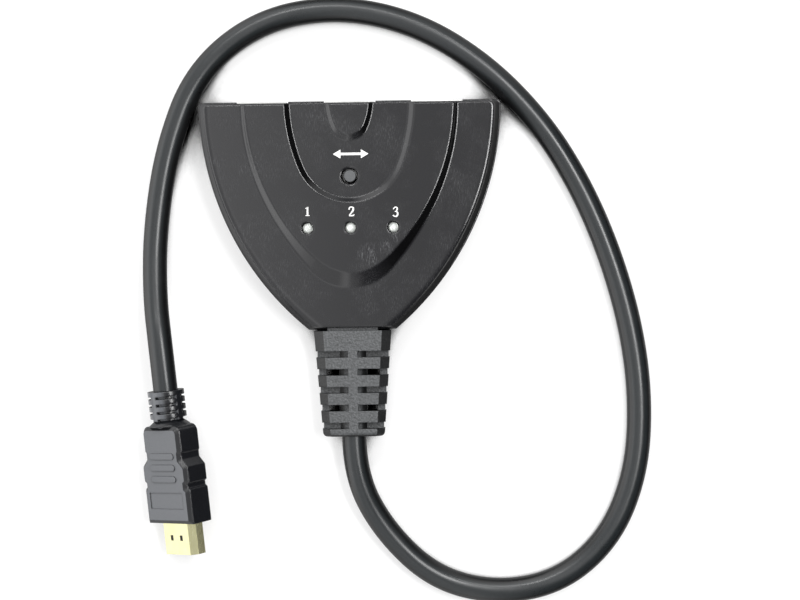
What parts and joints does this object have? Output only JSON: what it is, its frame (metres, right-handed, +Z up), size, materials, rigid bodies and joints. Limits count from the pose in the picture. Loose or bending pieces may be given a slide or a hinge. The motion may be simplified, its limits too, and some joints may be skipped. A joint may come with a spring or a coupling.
{
  "type": "video port switch",
  "caption": "Flat fan-shaped switch box with input sockets along its back, a push button, status lights and a looped pigtail lead that ends in a metal-shelled video plug.",
  "frame": {"origin": "centre of the case's flat underside: midway across its width and midway from its front to its back", "axes": "+Z up from the underside to the button, +Y towards the input sockets, +X to the right when the button faces the viewer and the sockets point away"},
  "size_m": [0.1523, 0.1823, 0.0189],
  "materials": {
    "case_gloss_black": "gloss",
    "screw_steel": "satin",
    "board_laminate": "semi-gloss",
    "socket_plating": "satin",
    "connector_black": "matte",
    "contact_gold": "satin",
    "dome_steel": "satin",
    "button_grey": "matte",
    "lens_white": "gloss",
    "lead_tin": "satin",
    "chip_black": "matte",
    "capacitor_brown": "matte",
    "boot_grey": "matte",
    "jacket_grey": "satin",
    "conductor_white": "satin",
    "grip_grey": "satin",
    "plug_gold": "polished"
  },
  "bodies": {
    "case": {"top_cover": "case_gloss_black", "bottom_cover": "case_gloss_black", "case_screws": "screw_steel", "circuit_board": "board_laminate", "socket_shell_1": "socket_plating", "socket_shell_2": "socket_plating", "socket_shell_3": "socket_plating", "socket_tongue_1": "connector_black", "socket_tongue_2": "connector_black", "socket_tongue_3": "connector_black", "socket_contacts_1": "contact_gold", "socket_contacts_2": "contact_gold", "socket_contacts_3": "contact_gold", "switch_base": "connector_black", "switch_plate": "socket_plating", "switch_legs": "socket_plating", "switch_dome": "dome_steel", "status_light_1": "lens_white", "status_light_2": "lens_white", "status_light_3": "lens_white", "light_leads_1": "lead_tin", "light_leads_2": "lead_tin", "light_leads_3": "lead_tin", "selector_chip": "chip_black", "chip_leads": "lead_tin", "capacitors": "capacitor_brown", "resistors": "chip_black", "protection_arrays": "chip_black", "cable_boot": "boot_grey", "cord_inner_end": "jacket_grey", "cord_conductors": "conductor_white", "output_cord": "jacket_grey", "plug_grip": "grip_grey", "plug_shell": "plug_gold", "plug_insulator": "connector_black", "plug_contacts": "contact_gold"},
    "button": {"select_button": "button_grey"}
  },
  "joints": [
    {"name": "select_press", "type": "slide", "parent": "case", "child": "button", "axis": [0, 0, -1], "range_m": [0, 0.0003], "stiffness_N_per_m": 5000, "springref_m": -0.0002, "deforming": ["switch_dome"]}
  ]
}
